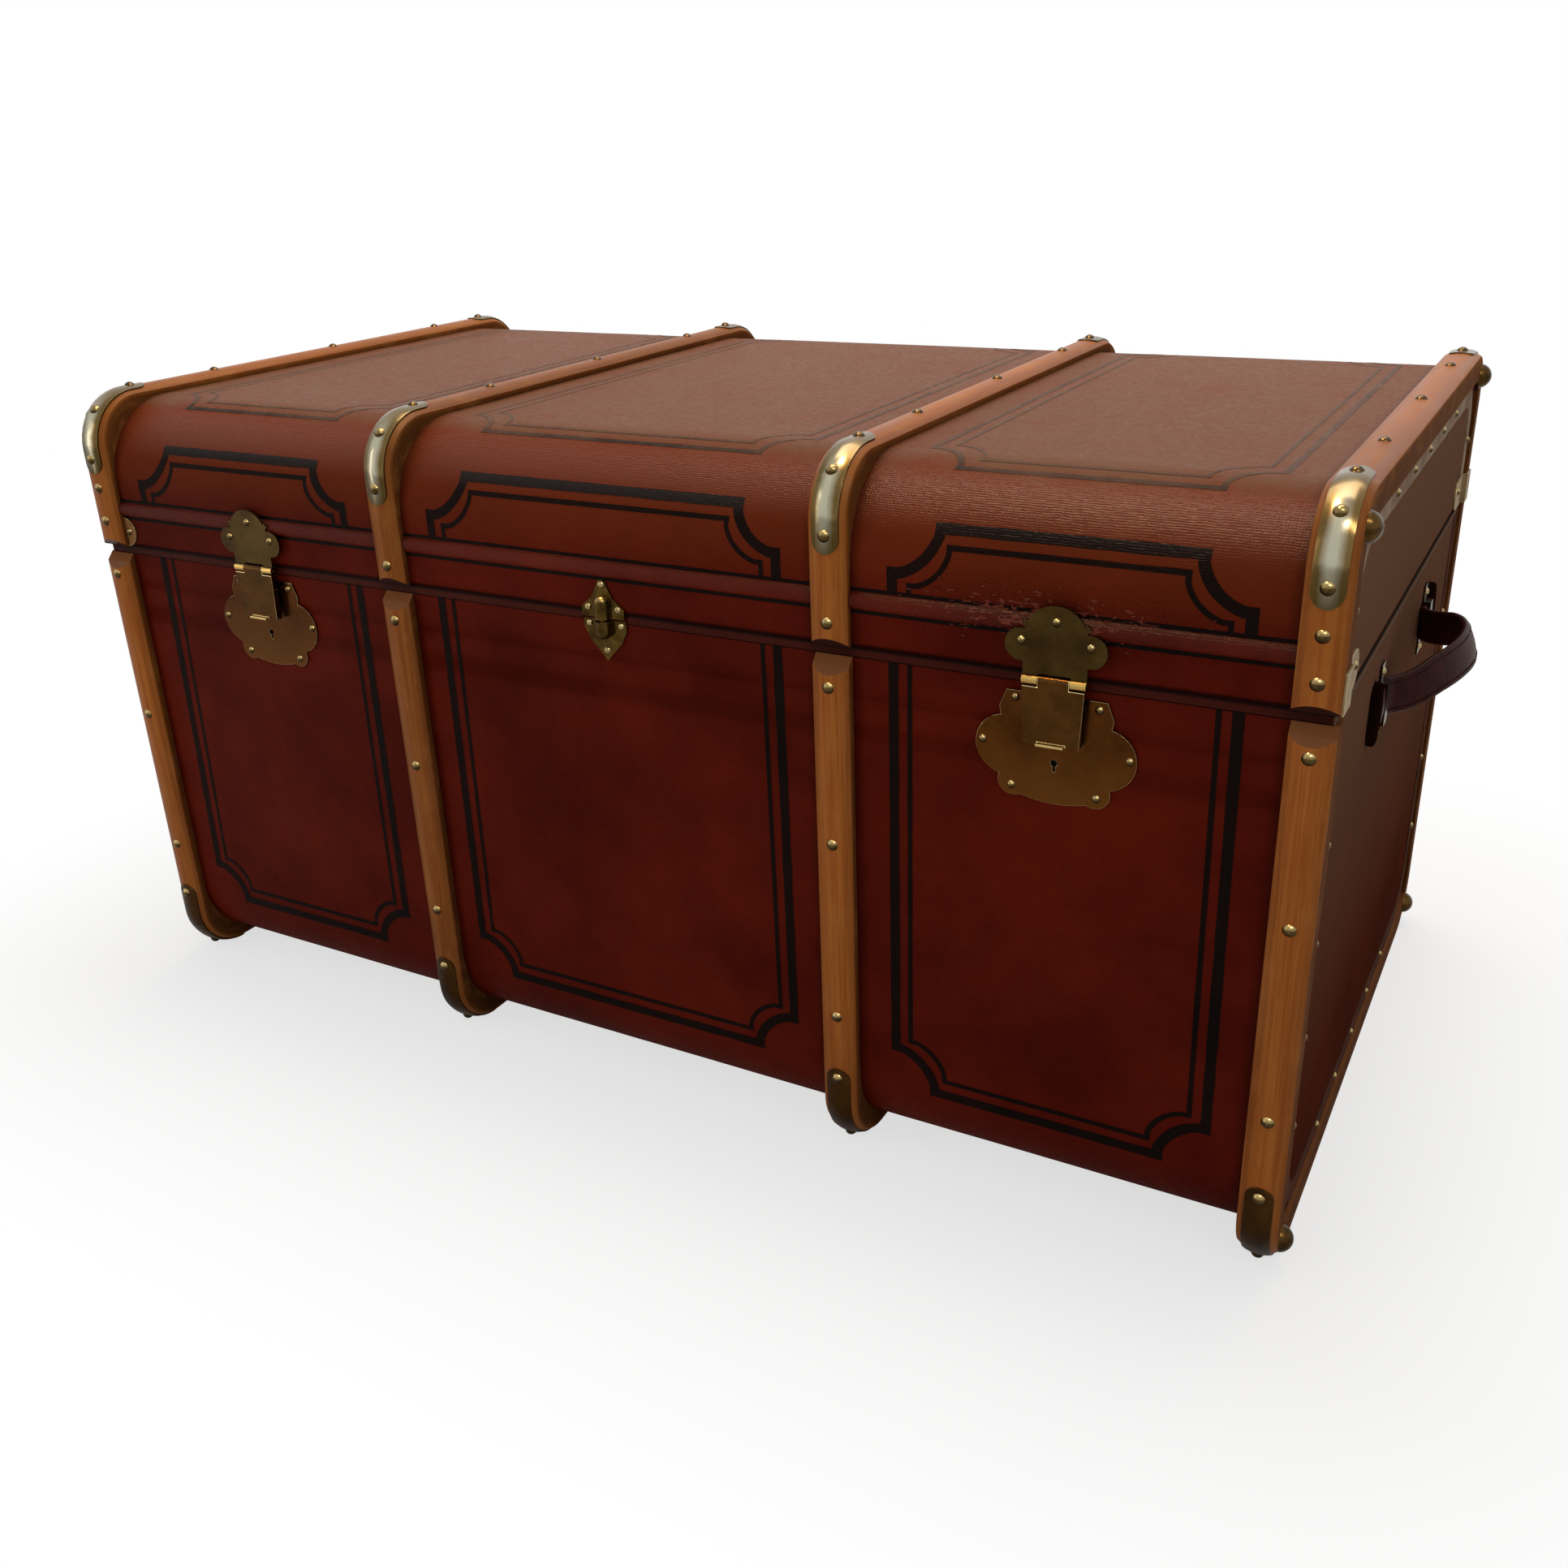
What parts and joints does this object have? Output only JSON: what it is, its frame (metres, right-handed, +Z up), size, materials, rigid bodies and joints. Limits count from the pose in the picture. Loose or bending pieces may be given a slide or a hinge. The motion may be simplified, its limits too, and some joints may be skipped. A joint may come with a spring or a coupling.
{
  "type": "travel trunk",
  "caption": "Canvas-covered travel trunk with a hinged lid, bentwood hoops, brass caps and domed nails, hasp locks, a guide clasp and leather end handles.",
  "frame": {"origin": "middle of the footprint, on the plane that the hoops stand on", "axes": "+X along the trunk's length to the right, +Y from the front with the locks to the back with the hinges, +Z up"},
  "size_m": [1.1218, 0.5732, 0.5336],
  "materials": {
    "painted_canvas": "red-brown painted canvas, satin",
    "plywood": "raw plywood",
    "lining": "cream paper and cloth",
    "painted_wood": "painted like the canvas, satin",
    "hoop_wood": "varnished, honey brown",
    "brass": "old polished brass with olive-brown patina",
    "lock_steel": "dull steel",
    "end_binding": "worn grey-buff leather strip",
    "handle_leather": "dark oxblood leather, worn shine"
  },
  "bodies": {
    "case": {"body_wrap": "plywood", "body_end_boards": "plywood", "body_canvas": "painted_canvas", "body_lining": "lining", "rim_strip": "painted_wood", "rim_tongue": "hoop_wood", "body_slat_1": "hoop_wood", "body_slat_2": "hoop_wood", "body_slat_3": "hoop_wood", "body_slat_4": "hoop_wood", "body_slat_caps": "brass", "body_slat_nails": "brass", "body_corner_studs": "brass", "body_end_binding": "end_binding", "body_binding_nails": "brass", "lock_plates": "brass", "lock_plate_nails": "brass", "lock_cases": "lock_steel", "guide_clasp_lower": "brass", "clasp_nails_lower": "brass", "hinge_body_leaves": "brass", "hinge_pins": "brass", "hinge_body_nails": "brass", "handle_ends": "handle_leather", "handle_loops": "brass", "handle_nails": "brass"},
    "lid": {"lid_wrap": "plywood", "lid_end_boards": "plywood", "lid_canvas": "painted_canvas", "lid_lining": "lining", "lid_bead": "painted_wood", "lid_slat_1": "hoop_wood", "lid_slat_2": "hoop_wood", "lid_slat_3": "hoop_wood", "lid_slat_4": "hoop_wood", "lid_slat_caps": "brass", "lid_slat_nails": "brass", "lid_corner_studs": "brass", "lid_end_binding": "end_binding", "lid_binding_nails": "brass", "lid_corner_plates": "brass", "corner_plate_nails": "brass", "hasp_packings": "painted_wood", "hasp_plates": "brass", "hasp_plate_nails": "brass", "hasp_pins": "brass", "guide_clasp_upper": "brass", "clasp_nails_upper": "brass", "hinge_lid_leaves": "brass", "hinge_lid_nails": "brass"},
    "hasp_left": {"hasp_left": "brass"},
    "hasp_right": {"hasp_right": "brass"},
    "bolt_left": {"lock_bolt_left": "lock_steel"},
    "bolt_right": {"lock_bolt_right": "lock_steel"},
    "handle_left": {"handle_left_strap": "handle_leather"},
    "handle_right": {"handle_right_strap": "handle_leather"}
  },
  "joints": [
    {"name": "lid_hinge", "type": "hinge", "parent": "case", "child": "lid", "pos_m": [0, 0.2778, 0.403], "axis": [-1, 0, 0], "range_deg": [0, 95]},
    {"name": "hasp_left_hinge", "type": "hinge", "parent": "lid", "child": "hasp_left", "pos_m": [-0.332, -0.279, 0.4], "axis": [-1, 0, 0], "range_deg": [0, 120]},
    {"name": "hasp_right_hinge", "type": "hinge", "parent": "lid", "child": "hasp_right", "pos_m": [0.347, -0.279, 0.4], "axis": [-1, 0, 0], "range_deg": [0, 120]},
    {"name": "bolt_left_slide", "type": "slide", "parent": "case", "child": "bolt_left", "axis": [1, 0, 0], "range_m": [0, 0.0125]},
    {"name": "bolt_right_slide", "type": "slide", "parent": "case", "child": "bolt_right", "axis": [1, 0, 0], "range_m": [0, 0.0125]},
    {"name": "handle_left_lift", "type": "hinge", "parent": "case", "child": "handle_left", "pos_m": [-0.516, 0, 0.349], "axis": [0, 1, 0], "range_deg": [0, 30]},
    {"name": "handle_right_lift", "type": "hinge", "parent": "case", "child": "handle_right", "pos_m": [0.516, 0, 0.349], "axis": [0, -1, 0], "range_deg": [0, 30]}
  ]
}
